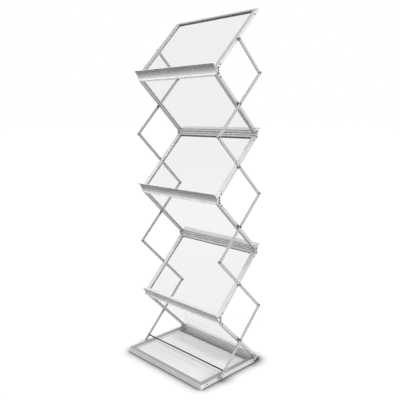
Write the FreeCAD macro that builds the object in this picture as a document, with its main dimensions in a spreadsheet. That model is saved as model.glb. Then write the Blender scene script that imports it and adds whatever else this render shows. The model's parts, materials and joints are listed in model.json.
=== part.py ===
import FreeCAD, Part
import math
import os
import Sketcher

# A folding brochure stand: six clear panels in a zigzag on a flat base.
# Short upright links join the panels, and crossed arms at both sides hold them apart.
# X runs across the stand, Y from front to back and Z up, and the base rests on Z = 0.

# Driving dimensions in millimetres, angles in degrees
SIZES = {
    # Linkage
    "fold_angle": 45.4,
    "pivot_span": 305.0,
    "link_span": 20.0,
    "rear_bracket_lean": 32.0,
    "arm_overhang": 9.0,
    # Panel rails and sheets
    "frame_width": 464.0,
    "rail_width": 20.0,
    "rail_depth": 12.0,
    "flange_width": 11.0,
    "flange_step": 1.0,
    "cross_rail_inset": 7.0,
    "cross_rail_bite": 5.0,
    "top_overhang": 10.0,
    "sheet_thickness": 3.0,
    "sheet_bite": 8.0,
    "sheet_play": 0.2,
    # Links and their pins
    "plate_thickness": 2.0,
    "pin_radius": 2.5,
    "pin_length": 9.0,
    "pin_head_radius": 3.6,
    "pin_head_height": 1.0,
    # Lips
    "lip_wall": 1.8,
    "lip_rise": 36.8,
    "lip_reach": 19.6,
    "lip_clearance": 1.0,
    "lip_waist_height": 3.5,
    "lip_foot_kick": 1.5,
    "lip_foot_drop": 3.8,
    "web_thickness": 2.0,
    "boss_clearance": 0.7,
    "screw_radius": 1.4,
    # Scissor arms
    "arm_width": 12.0,
    "arm_thickness": 4.0,
    "rivet_radius": 2.5,
    "rivet_head_radius": 4.0,
    "rivet_head_height": 1.4,
    "rivet_tail_radius": 3.5,
    "rivet_tail_height": 0.8,
    "spacer_radius": 5.0,
    "pivot_seat_depth": 6.0,
    "rod_radius": 2.0,
    "rod_place": 28.0,
    # Base
    "base_depth": 315.0,
    "base_rail_height": 18.0,
    "base_tail": 2.0,
    "heel_clearance": 2.6,
    "front_rail_depth": 18.6,
    "front_groove_depth": 1.2,
    "front_groove_height": 2.0,
    "rear_rail_depth": 12.0,
    "rear_rail_place": 17.5,
    "tray_height": 6.0,
    "tray_thickness": 3.0,
    "tray_bite": 6.0,
    "catch_thickness": 2.5,
    "catch_front": 9.0,
    "catch_back": 8.5,
    "catch_bottom": 3.0,
    "catch_finger_rise": 5.0,
    "catch_play": 0.5,
    # Running gaps, and the overrun that the cuts share
    "side_gap": 0.3,
    "arm_gap": 0.5,
    "catch_gap": 0.4,
    "pin_play": 0.08,
    "link_play": 0.4,
    "overrun": 1.0,
}

PANEL_COUNT = 6
FRONT_GROOVE_COUNT = 2
HALF_TURN = 180.0
ACROSS = FreeCAD.Vector(1, 0, 0)
UP = FreeCAD.Vector(0, 0, 1)


class Measure:
    """A length or a factor, with the sheet expression that it comes from."""

    def __init__(self, value, text):
        self.value = value
        self.text = text

    def __add__(self, other):
        return Measure(self.value + other.value, f"({self.text} + {other.text})")

    def __sub__(self, other):
        return Measure(self.value - other.value, f"({self.text} - {other.text})")

    def __mul__(self, other):
        if isinstance(other, Measure):
            return Measure(self.value * other.value, f"({self.text} * {other.text})")
        return Measure(self.value * other, f"({self.text} * {other})")

    def __truediv__(self, other):
        if isinstance(other, Measure):
            return Measure(self.value / other.value, f"({self.text} / {other.text})")
        return Measure(self.value / other, f"({self.text} / {other})")

    def __neg__(self):
        return Measure(-self.value, f"(0 - {self.text})")


def cosine(angle):
    """The cosine of an angle in degrees."""
    return Measure(math.cos(math.radians(angle.value)), f"cos({angle.text})")


def sine(angle):
    """The sine of an angle in degrees."""
    return Measure(math.sin(math.radians(angle.value)), f"sin({angle.text})")


def root(square):
    """The square root of a measure."""
    return Measure(math.sqrt(square.value), f"sqrt({square.text})")


ZERO = Measure(0.0, "0")
SIZE = {name: Measure(value, f"Sizes.{name}") for name, value in SIZES.items()}

# Places across the width, each a distance from the middle plane
RAIL_FACE = SIZE["frame_width"] / 2
RAIL_INNER = RAIL_FACE - SIZE["rail_width"]
PLATE_INNER = RAIL_FACE + SIZE["side_gap"]
PLATE_OUTER = PLATE_INNER + SIZE["plate_thickness"]
INNER_ARM = PLATE_OUTER + SIZE["pin_head_height"] + SIZE["arm_gap"]
INNER_ARM_OUT = INNER_ARM + SIZE["arm_thickness"]
OUTER_ARM = INNER_ARM_OUT + SIZE["side_gap"]
OUTER_ARM_OUT = OUTER_ARM + SIZE["arm_thickness"]
CATCH_OUTER = RAIL_FACE + SIZE["catch_thickness"]

# The opened linkage in the side view
NOSE_RADIUS = SIZE["rail_depth"] / 2
HALF_SPAN = SIZE["pivot_span"] / 2
HALF_LINK = SIZE["link_span"] / 2
HALF_DEPTH = HALF_SPAN * cosine(SIZE["fold_angle"])
HALF_RISE = HALF_SPAN * sine(SIZE["fold_angle"])
STOREY = HALF_RISE * 2 + SIZE["link_span"]
ARM_DEPTH = HALF_DEPTH + SIZE["arm_overhang"]
HALF_ARM = root(ARM_DEPTH * ARM_DEPTH + STOREY * STOREY / 4)
ARM_ANGLE = math.degrees(math.atan2(HALF_RISE.value + HALF_LINK.value, ARM_DEPTH.value))

# The lip's section, measured from the middle of its link
LIP_INNER = NOSE_RADIUS + SIZE["lip_clearance"]
LIP_FOOT = -(HALF_LINK + SIZE["lip_foot_drop"])
LIP_WAIST = LIP_FOOT + SIZE["lip_waist_height"]
LIP_TIP = (LIP_INNER + SIZE["lip_reach"], LIP_WAIST + SIZE["lip_rise"])
REACH_SQUARED = SIZE["lip_reach"] * SIZE["lip_reach"]
RISE_SQUARED = SIZE["lip_rise"] * SIZE["lip_rise"]
COVE_RADIUS = (REACH_SQUARED + RISE_SQUARED) / (SIZE["lip_reach"] * 2)
WALL_ACROSS = SIZE["lip_wall"] * (COVE_RADIUS - SIZE["lip_reach"]) / COVE_RADIUS
WALL_DOWN = SIZE["lip_wall"] * SIZE["lip_rise"] / COVE_RADIUS
LIP_EDGE = (LIP_TIP[0] + WALL_ACROSS, LIP_TIP[1] - WALL_DOWN)
BOSS_RADIUS = HALF_LINK - NOSE_RADIUS - SIZE["boss_clearance"]

# The base in the side view, with the panels' middles above Y = 0
LEAN_RISE = cosine(SIZE["rear_bracket_lean"])
LEAN_BACK = sine(SIZE["rear_bracket_lean"])
BASE_PIN_HEIGHT = SIZE["base_rail_height"] / 2
BASE_PIN_BACK = HALF_DEPTH - SIZE["link_span"] * LEAN_BACK
REAR_PIN_HEIGHT = BASE_PIN_HEIGHT + SIZE["link_span"] * LEAN_RISE
CATCH_HEIGHT = REAR_PIN_HEIGHT - HALF_LINK
BASE_BACK = BASE_PIN_BACK + SIZE["base_tail"]
BASE_FRONT = BASE_BACK - SIZE["base_depth"]
SIDE_RAIL_LENGTH = SIZE["base_depth"] - SIZE["front_rail_depth"]
TRAY_TOP = SIZE["tray_height"] + SIZE["tray_thickness"]


def leaning_back(point):
    """How far back a point of the leaning rear lip stands."""
    middle = BASE_PIN_BACK + HALF_LINK * LEAN_BACK
    return middle + point[0] * LEAN_RISE + point[1] * LEAN_BACK


REARMOST = max(leaning_back(LIP_TIP).value, leaning_back(LIP_EDGE).value)
SHIFT = -(BASE_FRONT.value + REARMOST) / 2


def panel_height(number):
    """The height of a panel's middle; panel 1 is at the top."""
    storeys = STOREY * (PANEL_COUNT - number)
    return REAR_PIN_HEIGHT + HALF_RISE + storeys


def place(back, height, tilt=0, to_front=False):
    """A place in the middle plane, tilted about X and then turned to face the front if asked."""
    turn = FreeCAD.Rotation(UP, HALF_TURN if to_front else 0)
    lean = FreeCAD.Rotation(ACROSS, tilt)
    point = FreeCAD.Vector(0, back.value + SHIFT, height.value)
    return FreeCAD.Placement(point, turn.multiply(lean))


def write_sheet(doc):
    """Makes the spreadsheet that holds the driving dimensions."""
    sheet = doc.addObject("Spreadsheet::Sheet", "Sizes")
    for row, (name, value) in enumerate(SIZES.items(), start=1):
        sheet.set(f"A{row}", name)
        sheet.set(f"B{row}", str(value))
        sheet.setAlias(f"B{row}", name)
    doc.recompute()


# Sketches and features


def plane(body, role):
    """One of a body's own origin planes."""
    return next(feature for feature in body.Origin.OriginFeatures if feature.Role == role)


def new_body(doc, label, placement):
    """An empty body with its label and its place."""
    body = doc.addObject("PartDesign::Body", label)
    body.Label = label
    body.Placement = placement
    return body


def new_sketch(body, role, name, offset=ZERO):
    """A sketch on one of the body's origin planes, moved along the plane's normal."""
    sketch = body.newObject("Sketcher::SketchObject", name)
    sketch.AttachmentSupport = [(plane(body, role), "")]
    sketch.MapMode = "FlatFace"
    sketch.setExpression("AttachmentOffset.Base.z", offset.text)
    return sketch


def side_sketch(body, name, across=ZERO):
    """A sketch in the side view, at a place across the width."""
    return new_sketch(body, "YZ_Plane", name, across)


def bind(sketch, rule, measure):
    """Adds a dimension to a sketch and binds it to the sheet."""
    index = sketch.addConstraint(Sketcher.Constraint(*rule, measure.value))
    sketch.setExpression(f"Constraints[{index}]", measure.text)


def hold(sketch, shape, point, corner):
    """Holds a point of a sketch at its two measures."""
    bind(sketch, ("DistanceX", -1, 1, shape, point), corner[0])
    bind(sketch, ("DistanceY", -1, 1, shape, point), corner[1])


def vector(corner):
    """The sketch vector of a corner."""
    return FreeCAD.Vector(corner[0].value, corner[1].value, 0)


def arc(first, last, centre, left_turn):
    """An arc about a centre, drawn anticlockwise as the sketcher keeps it."""
    ends = (first, last) if left_turn else (last, first)
    spokes = [vector(end) - vector(centre) for end in ends]
    angles = [math.atan2(spoke.y, spoke.x) for spoke in spokes]
    ring = Part.Circle(vector(centre), UP, spokes[0].Length)
    return Part.ArcOfCircle(ring, *angles)


def outline(sketch, corners, arcs=None):
    """A closed outline; arcs gives an edge its centre, its turn and the measure held there."""
    arcs = arcs or {}
    edges = []
    for number, first in enumerate(corners):
        last = corners[(number + 1) % len(corners)]
        if number not in arcs:
            shape = sketch.addGeometry(Part.LineSegment(vector(first), vector(last)))
            edges.append((shape, 1, 2))
            continue
        centre, left_turn, direction = arcs[number]
        shape = sketch.addGeometry(arc(first, last, centre, left_turn))
        measure = centre[0] if direction == "DistanceX" else centre[1]
        bind(sketch, (direction, -1, 1, shape, 3), measure)
        edges.append((shape, 1, 2) if left_turn else (shape, 2, 1))
    for number, (shape, start, finish) in enumerate(edges):
        following, next_start, _ = edges[(number + 1) % len(edges)]
        sketch.addConstraint(Sketcher.Constraint("Coincident", shape, finish, following, next_start))
        hold(sketch, shape, start, corners[number])


def rectangle(sketch, left, right, low, high):
    """A rectangle between two measures across and two up."""
    outline(sketch, [(left, low), (right, low), (right, high), (left, high)])


def bar(sketch, low, high, radius):
    """A level bar with round ends about two points of the sketch's first axis."""
    corners = [(low, -radius), (high, -radius), (high, radius), (low, radius)]
    arcs = {1: ((high, ZERO), True, "DistanceX"), 3: ((low, ZERO), True, "DistanceX")}
    outline(sketch, corners, arcs)


def upright_bar(sketch, reach, radius):
    """An upright bar with round ends at equal distances from the sketch's origin."""
    corners = [(radius, -reach), (radius, reach), (-radius, reach), (-radius, -reach)]
    arcs = {1: ((ZERO, reach), True, "DistanceY"), 3: ((ZERO, -reach), True, "DistanceY")}
    outline(sketch, corners, arcs)


def circle(sketch, across, up, radius):
    """A circle whose centre and radius are bound to the sheet."""
    shape = sketch.addGeometry(Part.Circle(vector((across, up)), UP, radius.value))
    hold(sketch, shape, 3, (across, up))
    bind(sketch, ("Radius", shape), radius)


def extrude(kind, sketch, length, symmetric, reverse):
    """A feature that runs a sketch's shape along its normal."""
    body = sketch.getParentGeoFeatureGroup()
    feature = body.newObject(kind, f"{sketch.Name}Run")
    feature.Profile = sketch
    feature.SideType = "Symmetric" if symmetric else "One side"
    feature.Reversed = reverse
    feature.setExpression("Length", length.text)
    return feature


def pad(sketch, length, symmetric=False, reverse=False):
    """Adds a sketch's shape to its body."""
    return extrude("PartDesign::Pad", sketch, length, symmetric, reverse)


def pocket(sketch, length, symmetric=False, reverse=False):
    """Cuts a sketch's shape out of its body, against the sketch's normal."""
    return extrude("PartDesign::Pocket", sketch, length, symmetric, reverse)


def mirror_across(body):
    """Adds the other side's piece: the whole body mirrored in the stand's middle plane."""
    body.Document.recompute()
    mirrored = body.newObject("PartDesign::Mirrored", "OtherSide")
    mirrored.TransformMode = "Whole shape"
    mirrored.MirrorPlane = (plane(body, "YZ_Plane"), [""])
    body.Tip = mirrored


# Panels, each in a frame of its own: Y runs up the slope and Z stands square to the sheet


def side_rails(doc, label, placement, head):
    """The two side rails: a tube and a lower flange, round about both pins and grooved inside."""
    body = new_body(doc, label, placement)
    top = HALF_SPAN + head
    tube_inner = RAIL_INNER + SIZE["flange_width"]
    tube = side_sketch(body, "Tube", tube_inner)
    bar(tube, -HALF_SPAN, top, NOSE_RADIUS)
    pad(tube, SIZE["rail_width"] - SIZE["flange_width"])
    flange = side_sketch(body, "Flange", RAIL_INNER)
    bar(flange, -HALF_SPAN, top, NOSE_RADIUS - SIZE["flange_step"])
    pad(flange, SIZE["flange_width"])
    groove = new_sketch(body, "XZ_Plane", "Groove", -head / 2)
    half_sheet = SIZE["sheet_thickness"] / 2
    groove_side = RAIL_INNER + SIZE["sheet_bite"]
    rectangle(groove, RAIL_INNER - SIZE["overrun"], groove_side, -half_sheet, half_sheet)
    groove_end = HALF_SPAN - SIZE["cross_rail_inset"] + SIZE["cross_rail_bite"]
    pocket(groove, groove_end * 2 + head, symmetric=True)
    pins = side_sketch(body, "PinBores", RAIL_FACE)
    circle(pins, -HALF_SPAN, ZERO, SIZE["pin_radius"] + SIZE["link_play"])
    if head is ZERO:
        circle(pins, HALF_SPAN, ZERO, SIZE["pin_radius"] + SIZE["pin_play"])
    pocket(pins, SIZE["pin_length"])
    seat = side_sketch(body, "PivotSeat", RAIL_FACE)
    circle(seat, ZERO, ZERO, SIZE["rivet_radius"])
    pocket(seat, SIZE["pivot_seat_depth"])
    mirror_across(body)
    return body


def cross_rail(doc, label, placement, head, at_top):
    """A round-nosed rail between the side rails, grooved for the sheet's end."""
    body = new_body(doc, label, placement)
    nose = HALF_SPAN + head if at_top else -HALF_SPAN
    inset = -SIZE["cross_rail_inset"] if at_top else SIZE["cross_rail_inset"]
    bite = SIZE["cross_rail_bite"] if at_top else -SIZE["cross_rail_bite"]
    inner = nose + inset
    half_sheet = SIZE["sheet_thickness"] / 2
    corners = [
        (nose, -NOSE_RADIUS),
        (nose, NOSE_RADIUS),
        (inner, NOSE_RADIUS),
        (inner, half_sheet),
        (inner + bite, half_sheet),
        (inner + bite, -half_sheet),
        (inner, -half_sheet),
        (inner, -NOSE_RADIUS),
    ]
    section = side_sketch(body, "Section")
    outline(section, corners, {0: ((nose, ZERO), at_top, "DistanceX")})
    pad(section, RAIL_INNER * 2, symmetric=True)
    return body


def clear_sheet(doc, label, placement, head):
    """The clear sheet, held in the rails' grooves all round."""
    body = new_body(doc, label, placement)
    side = RAIL_INNER + SIZE["sheet_bite"] - SIZE["sheet_play"]
    end = HALF_SPAN - SIZE["cross_rail_inset"] + SIZE["cross_rail_bite"] - SIZE["sheet_play"]
    face = new_sketch(body, "XY_Plane", "Face")
    rectangle(face, -side, side, -end, end + head)
    pad(face, SIZE["sheet_thickness"], symmetric=True)
    return body


def arm_pivots(doc, label, placement, arm_inner):
    """The two bushes that a pair of arms turns on: a seated shank, a spacer and a head."""
    body = new_body(doc, label, placement)
    spacer = side_sketch(body, "Spacer", RAIL_FACE)
    circle(spacer, ZERO, ZERO, SIZE["spacer_radius"])
    pad(spacer, arm_inner - SIZE["side_gap"] - RAIL_FACE)
    root_face = RAIL_FACE - SIZE["pivot_seat_depth"]
    head_face = arm_inner + SIZE["arm_thickness"] + SIZE["side_gap"]
    shank = side_sketch(body, "Shank", root_face)
    circle(shank, ZERO, ZERO, SIZE["rivet_radius"])
    pad(shank, head_face - root_face)
    head = side_sketch(body, "Head", head_face)
    circle(head, ZERO, ZERO, SIZE["rivet_head_radius"])
    pad(head, SIZE["rivet_head_height"])
    mirror_across(body)
    return body


def make_panel(doc, number):
    """A framed sheet; odd panels climb to the back and even panels climb to the front."""
    climbs_back = number % 2 == 1
    spot = place(ZERO, panel_height(number), SIZES["fold_angle"], to_front=not climbs_back)
    head = SIZE["top_overhang"] if number == 1 else ZERO
    arm_inner = INNER_ARM if climbs_back else OUTER_ARM
    name = f"panel_{number}"
    return [
        side_rails(doc, f"{name}_side_rails", spot, head),
        cross_rail(doc, f"{name}_top_rail", spot, head, at_top=True),
        cross_rail(doc, f"{name}_bottom_rail", spot, head, at_top=False),
        clear_sheet(doc, f"{name}_sheet", spot, head),
        arm_pivots(doc, f"{name}_arm_pivots", spot, arm_inner),
    ]


# Links, each in a frame of its own: the origin is midway between the pins and Y points outwards


def end_plates(doc, label, placement):
    """The two link plates, each with a headed pin for either panel and a screw hole between."""
    body = new_body(doc, label, placement)
    plate = side_sketch(body, "Plate", PLATE_INNER)
    upright_bar(plate, HALF_LINK, NOSE_RADIUS)
    pad(plate, SIZE["plate_thickness"])
    for name, height in (("Upper", HALF_LINK), ("Lower", -HALF_LINK)):
        shank = side_sketch(body, f"{name}Pin", PLATE_INNER - SIZE["pin_length"])
        circle(shank, ZERO, height, SIZE["pin_radius"])
        pad(shank, SIZE["pin_length"] + SIZE["plate_thickness"])
        head = side_sketch(body, f"{name}Head", PLATE_OUTER)
        circle(head, ZERO, height, SIZE["pin_head_radius"])
        pad(head, SIZE["pin_head_height"])
    screw = side_sketch(body, "ScrewHole", PLATE_OUTER)
    circle(screw, ZERO, ZERO, SIZE["screw_radius"])
    pocket(screw, SIZE["plate_thickness"])
    mirror_across(body)
    return body


def lip(doc, label, placement):
    """A full-width lip: a flaring cove over a kicked foot, and a web to its screw boss."""
    body = new_body(doc, label, placement)
    width = PLATE_INNER * 2
    centre = (LIP_INNER + COVE_RADIUS, LIP_WAIST)
    outer = LIP_INNER + SIZE["lip_wall"]
    corners = [
        (LIP_INNER, LIP_WAIST),
        LIP_TIP,
        LIP_EDGE,
        (outer, LIP_WAIST),
        (outer + SIZE["lip_foot_kick"], LIP_FOOT),
        (LIP_INNER + SIZE["lip_foot_kick"], LIP_FOOT),
    ]
    cove = side_sketch(body, "Cove")
    outline(cove, corners, {0: (centre, False, "DistanceY"), 2: (centre, True, "DistanceY")})
    pad(cove, width, symmetric=True)
    half_web = SIZE["web_thickness"] / 2
    above_waist = half_web - LIP_WAIST
    flare = COVE_RADIUS - root(COVE_RADIUS * COVE_RADIUS - above_waist * above_waist)
    web = side_sketch(body, "Web")
    rectangle(web, ZERO, LIP_INNER + flare + SIZE["lip_wall"] / 2, -half_web, half_web)
    pad(web, width, symmetric=True)
    boss = side_sketch(body, "Boss")
    circle(boss, ZERO, ZERO, BOSS_RADIUS)
    pad(boss, width, symmetric=True)
    port = side_sketch(body, "ScrewPort")
    circle(port, ZERO, ZERO, SIZE["screw_radius"])
    pocket(port, width, symmetric=True)
    return body


def make_link(doc, name, placement):
    """A link: two end plates with a lip between them."""
    return [
        end_plates(doc, f"{name}_plates", placement),
        lip(doc, f"{name}_lip", placement),
    ]


def make_links(doc):
    """The rear bracket, a leaning link held fast to the lowest panel, and the upright links."""
    rear_back = BASE_PIN_BACK + HALF_LINK * LEAN_BACK
    rear_height = BASE_PIN_HEIGHT + HALF_LINK * LEAN_RISE
    nodes = make_link(doc, "rear_bracket", place(rear_back, rear_height, -SIZES["rear_bracket_lean"]))
    for number, letter in enumerate("abcde"):
        height = panel_height(PANEL_COUNT - number) + HALF_RISE + HALF_LINK
        at_front = number % 2 == 0
        back = -HALF_DEPTH if at_front else HALF_DEPTH
        nodes += make_link(doc, f"hinge_{letter}", place(back, height, to_front=at_front))
    return nodes


# Arms, each in a frame of its own: Y runs up along the arm from its middle pivot


def arm_pair(doc, label, placement, inner_face, end_radius, is_half, has_rod):
    """The two flat arms of one storey, drilled at the middle and at the ends."""
    body = new_body(doc, label, placement)
    strip = side_sketch(body, "Bar", inner_face)
    bar(strip, -HALF_ARM, ZERO if is_half else HALF_ARM, SIZE["arm_width"] / 2)
    pad(strip, SIZE["arm_thickness"])
    holes = side_sketch(body, "Holes", inner_face + SIZE["arm_thickness"])
    circle(holes, ZERO, ZERO, SIZE["rivet_radius"] + SIZE["pin_play"])
    circle(holes, -HALF_ARM, ZERO, end_radius)
    if not is_half:
        circle(holes, HALF_ARM, ZERO, end_radius)
    if has_rod:
        circle(holes, SIZE["rod_place"] - HALF_ARM, ZERO, SIZE["rod_radius"])
    pocket(holes, SIZE["arm_thickness"])
    mirror_across(body)
    return body


def end_rivets(doc, label, placement, low_end_hooks):
    """The rivets at both ends of an outer arm; a hooked low end has a bare stud instead."""
    body = new_body(doc, label, placement)
    lap_root = INNER_ARM - SIZE["side_gap"] - SIZE["rivet_tail_height"]
    hook_root = CATCH_OUTER + SIZE["catch_gap"]
    ends = (("Low", -HALF_ARM, hook_root if low_end_hooks else lap_root), ("High", HALF_ARM, lap_root))
    for name, along, shank_root in ends:
        shank = side_sketch(body, f"{name}Shank", shank_root)
        circle(shank, along, ZERO, SIZE["rivet_radius"])
        pad(shank, OUTER_ARM_OUT - shank_root)
        head = side_sketch(body, f"{name}Head", OUTER_ARM_OUT)
        circle(head, along, ZERO, SIZE["rivet_head_radius"])
        pad(head, SIZE["rivet_head_height"])
        if shank_root is lap_root:
            tail = side_sketch(body, f"{name}Tail", shank_root)
            circle(tail, along, ZERO, SIZE["rivet_tail_radius"])
            pad(tail, SIZE["rivet_tail_height"])
    mirror_across(body)
    return body


def cross_rod(doc, label, placement):
    """The thin rod that ties the lowest arms together."""
    body = new_body(doc, label, placement)
    section = side_sketch(body, "Section")
    circle(section, SIZE["rod_place"] - HALF_ARM, ZERO, SIZE["rod_radius"])
    pad(section, OUTER_ARM_OUT * 2, symmetric=True)
    return body


def make_arms(doc):
    """The arms: odd storeys inside, even storeys outside, half an arm at the top."""
    nodes = []
    for number in range(1, PANEL_COUNT + 1):
        is_outer = number % 2 == 0
        is_lowest = number == PANEL_COUNT
        spot = place(ZERO, panel_height(number), ARM_ANGLE, to_front=not is_outer)
        inner_face = OUTER_ARM if is_outer else INNER_ARM
        end_radius = SIZE["rivet_radius"] if is_outer else SIZE["rivet_radius"] + SIZE["pin_play"]
        label = f"arms_{number}"
        nodes.append(arm_pair(doc, label, spot, inner_face, end_radius, number == 1, is_lowest))
        if is_outer:
            nodes.append(end_rivets(doc, f"{label}_rivets", spot, low_end_hooks=is_lowest))
        if is_lowest:
            nodes.append(cross_rod(doc, "cross_rod", spot))
    return nodes


# Base


def base_front_rail(doc):
    """The front rail, as wide as the stand, with fine grooves along its face."""
    body = new_body(doc, "base_front_rail", place(BASE_FRONT, ZERO))
    height = SIZE["base_rail_height"]
    depth = SIZE["front_rail_depth"]
    slot = depth - SIZE["tray_bite"]
    corners = [
        (ZERO, ZERO),
        (depth, ZERO),
        (depth, SIZE["tray_height"]),
        (slot, SIZE["tray_height"]),
        (slot, TRAY_TOP),
        (depth, TRAY_TOP),
        (depth, height),
        (ZERO, height),
    ]
    groove = SIZE["front_groove_height"]
    band = (height - groove * FRONT_GROOVE_COUNT) / (FRONT_GROOVE_COUNT + 1)
    level = height
    for _ in range(FRONT_GROOVE_COUNT):
        level = level - band
        corners += [(ZERO, level), (SIZE["front_groove_depth"], level)]
        level = level - groove
        corners += [(SIZE["front_groove_depth"], level), (ZERO, level)]
    section = side_sketch(body, "Section")
    outline(section, corners)
    pad(section, RAIL_FACE * 2, symmetric=True)
    return body


def base_side_rails(doc):
    """The side rails, slotted for the tray, and cut down and bored at the rear for the bracket."""
    front = BASE_FRONT + SIZE["front_rail_depth"]
    body = new_body(doc, "base_side_rails", place(front, ZERO))
    slot = RAIL_INNER + SIZE["tray_bite"]
    corners = [
        (RAIL_INNER, ZERO),
        (RAIL_FACE, ZERO),
        (RAIL_FACE, SIZE["base_rail_height"]),
        (RAIL_INNER, SIZE["base_rail_height"]),
        (RAIL_INNER, TRAY_TOP),
        (slot, TRAY_TOP),
        (slot, SIZE["tray_height"]),
        (RAIL_INNER, SIZE["tray_height"]),
    ]
    section = new_sketch(body, "XZ_Plane", "Section")
    outline(section, corners)
    pad(section, SIDE_RAIL_LENGTH, reverse=True)
    pin = SIDE_RAIL_LENGTH - SIZE["base_tail"]
    heel = side_sketch(body, "Heel", RAIL_FACE)
    heel_front = pin - BOSS_RADIUS - SIZE["heel_clearance"]
    heel_back = SIDE_RAIL_LENGTH + SIZE["overrun"]
    heel_top = SIZE["base_rail_height"] + SIZE["overrun"]
    rectangle(heel, heel_front, heel_back, BASE_PIN_HEIGHT + NOSE_RADIUS, heel_top)
    pocket(heel, SIZE["rail_width"])
    bore = side_sketch(body, "PinBore", RAIL_FACE)
    circle(bore, pin, BASE_PIN_HEIGHT, SIZE["pin_radius"] + SIZE["pin_play"])
    pocket(bore, SIZE["pin_length"])
    mirror_across(body)
    return body


def base_rear_rail(doc):
    """The rear rail between the side rails, slotted for the tray at its front."""
    front = BASE_PIN_BACK - SIZE["rear_rail_place"] - SIZE["rear_rail_depth"] / 2
    body = new_body(doc, "base_rear_rail", place(front, ZERO))
    corners = [
        (ZERO, ZERO),
        (SIZE["rear_rail_depth"], ZERO),
        (SIZE["rear_rail_depth"], SIZE["base_rail_height"]),
        (ZERO, SIZE["base_rail_height"]),
        (ZERO, TRAY_TOP),
        (SIZE["tray_bite"], TRAY_TOP),
        (SIZE["tray_bite"], SIZE["tray_height"]),
        (ZERO, SIZE["tray_height"]),
    ]
    section = side_sketch(body, "Section")
    outline(section, corners)
    pad(section, RAIL_INNER * 2, symmetric=True)
    return body


def base_tray(doc):
    """The sunk floor of the base, held in the rails' slots all round."""
    front = BASE_FRONT + SIZE["front_rail_depth"] - SIZE["tray_bite"]
    body = new_body(doc, "base_tray", place(front, SIZE["tray_height"]))
    rear = BASE_PIN_BACK - SIZE["rear_rail_place"] - SIZE["rear_rail_depth"] / 2
    length = rear + SIZE["tray_bite"] - front
    side = RAIL_INNER + SIZE["tray_bite"] - SIZE["sheet_play"]
    face = new_sketch(body, "XY_Plane", "Face")
    rectangle(face, -side, side, SIZE["sheet_play"], length - SIZE["sheet_play"])
    pad(face, SIZE["tray_thickness"])
    return body


def arm_catches(doc):
    """The two hooks on the base that the lowest arms' studs drop into."""
    body = new_body(doc, "arm_catches", place(-ARM_DEPTH, CATCH_HEIGHT))
    cup = SIZE["rivet_radius"] + SIZE["catch_play"]
    bottom = SIZE["catch_bottom"] - CATCH_HEIGHT
    tip_radius = (SIZE["catch_front"] - cup) / 2
    tip_middle = SIZE["catch_finger_rise"] - tip_radius
    corners = [
        (-SIZE["catch_front"], bottom),
        (SIZE["catch_back"], bottom),
        (SIZE["catch_back"], ZERO),
        (cup, ZERO),
        (-cup, ZERO),
        (-cup, tip_middle),
        (-SIZE["catch_front"], tip_middle),
    ]
    arcs = {
        3: ((ZERO, ZERO), False, "DistanceY"),
        5: ((-cup - tip_radius, tip_middle), True, "DistanceY"),
    }
    hook = side_sketch(body, "Hook", RAIL_FACE)
    outline(hook, corners, arcs)
    pad(hook, SIZE["catch_thickness"])
    mirror_across(body)
    return body


def make_base(doc):
    """The base: four rails, the tray and the arm catches."""
    return [
        base_front_rail(doc),
        base_side_rails(doc),
        base_rear_rail(doc),
        base_tray(doc),
        arm_catches(doc),
    ]


def check(doc, nodes):
    """Stops the build if an object failed or a cut took nothing away."""
    for thing in doc.Objects:
        if "Invalid" in thing.State or "Error" in thing.State:
            raise RuntimeError(f"{thing.Name} failed: {thing.State}")
        if thing.TypeId == "PartDesign::Pocket":
            taken = thing.BaseFeature.Shape.Volume - thing.Shape.Volume
            if taken <= 0:
                raise RuntimeError(f"{thing.Name} cuts nothing")
    for node in nodes:
        if node.Shape.isNull() or not node.Shape.isValid():
            raise RuntimeError(f"{node.Label} has no valid shape")


def main():
    """Builds the stand and writes a STEP file for each sub-part."""
    doc = FreeCAD.newDocument("BrochureStand")
    write_sheet(doc)
    nodes = make_base(doc) + make_links(doc)
    for number in range(1, PANEL_COUNT + 1):
        nodes += make_panel(doc, number)
    nodes += make_arms(doc)
    doc.recompute()
    check(doc, nodes)
    os.makedirs("parts", exist_ok=True)
    for node in nodes:
        node.Shape.exportStep(f"parts/{node.Label}.step")
    print(f"{len(nodes)} nodes")


main()
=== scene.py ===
"""A folding brochure stand: six clear panels in a zigzag on a flat base, dressed over its solids.

Sizes are in millimetres and angles in degrees. X runs across the stand, Y from front to back
and Z up. Every piece stands where the solids' joints say and rides on the body that carries it.
"""

import json
import logging
import math
from collections.abc import Iterable, Sequence
from dataclasses import dataclass, field
from enum import Enum

import bmesh
import bpy
from bmesh.types import BMesh, BMVert
from bpy.types import Material, Node, NodeSocket, NodeTree, Object
from mathutils import Matrix, Vector


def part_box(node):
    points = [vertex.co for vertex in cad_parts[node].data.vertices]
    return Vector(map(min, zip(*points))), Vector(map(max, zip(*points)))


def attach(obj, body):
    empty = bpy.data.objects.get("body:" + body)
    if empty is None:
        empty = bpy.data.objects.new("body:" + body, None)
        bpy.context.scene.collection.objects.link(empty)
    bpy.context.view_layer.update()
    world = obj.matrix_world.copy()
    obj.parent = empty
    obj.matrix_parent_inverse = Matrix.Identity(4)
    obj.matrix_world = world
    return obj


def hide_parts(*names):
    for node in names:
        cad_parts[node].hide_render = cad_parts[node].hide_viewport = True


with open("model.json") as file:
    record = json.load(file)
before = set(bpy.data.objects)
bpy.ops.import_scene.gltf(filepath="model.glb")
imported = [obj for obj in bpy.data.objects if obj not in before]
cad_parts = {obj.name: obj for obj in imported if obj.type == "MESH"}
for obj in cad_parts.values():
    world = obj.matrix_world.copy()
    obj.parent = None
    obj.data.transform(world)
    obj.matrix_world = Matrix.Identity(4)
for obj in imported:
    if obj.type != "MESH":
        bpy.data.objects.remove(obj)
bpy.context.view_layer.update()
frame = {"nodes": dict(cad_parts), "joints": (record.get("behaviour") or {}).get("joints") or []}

LOG = logging.getLogger("brochure_stand")

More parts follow.
